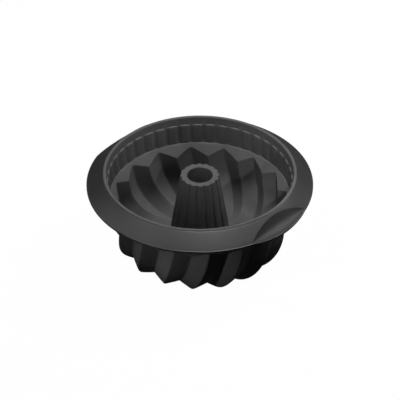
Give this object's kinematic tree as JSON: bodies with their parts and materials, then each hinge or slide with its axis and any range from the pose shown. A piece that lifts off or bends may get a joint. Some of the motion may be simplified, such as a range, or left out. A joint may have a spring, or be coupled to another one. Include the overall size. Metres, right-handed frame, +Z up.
{
  "type": "savarin mould",
  "caption": "Deep round silicone ring mould with swirled ribs, a reeded collar and a hollow fluted chimney, hung in a stiff sloping rim ring with thumb recesses.",
  "frame": {"origin": "on the chimney's axis, at the level of the rib feet that the mould stands on", "axes": "+Z up along the chimney's axis; the thumb recesses of the rim ring lie on +X and -X"},
  "size_m": [0.246, 0.25, 0.107],
  "materials": {
    "silicone": "satin black food silicone",
    "ring": "matt black, finely grained"
  },
  "bodies": {
    "root": {"rim_ring": "ring", "fluted_collar": "silicone", "swirl_bowl": "silicone", "chimney": "silicone"}
  },
  "joints": []
}
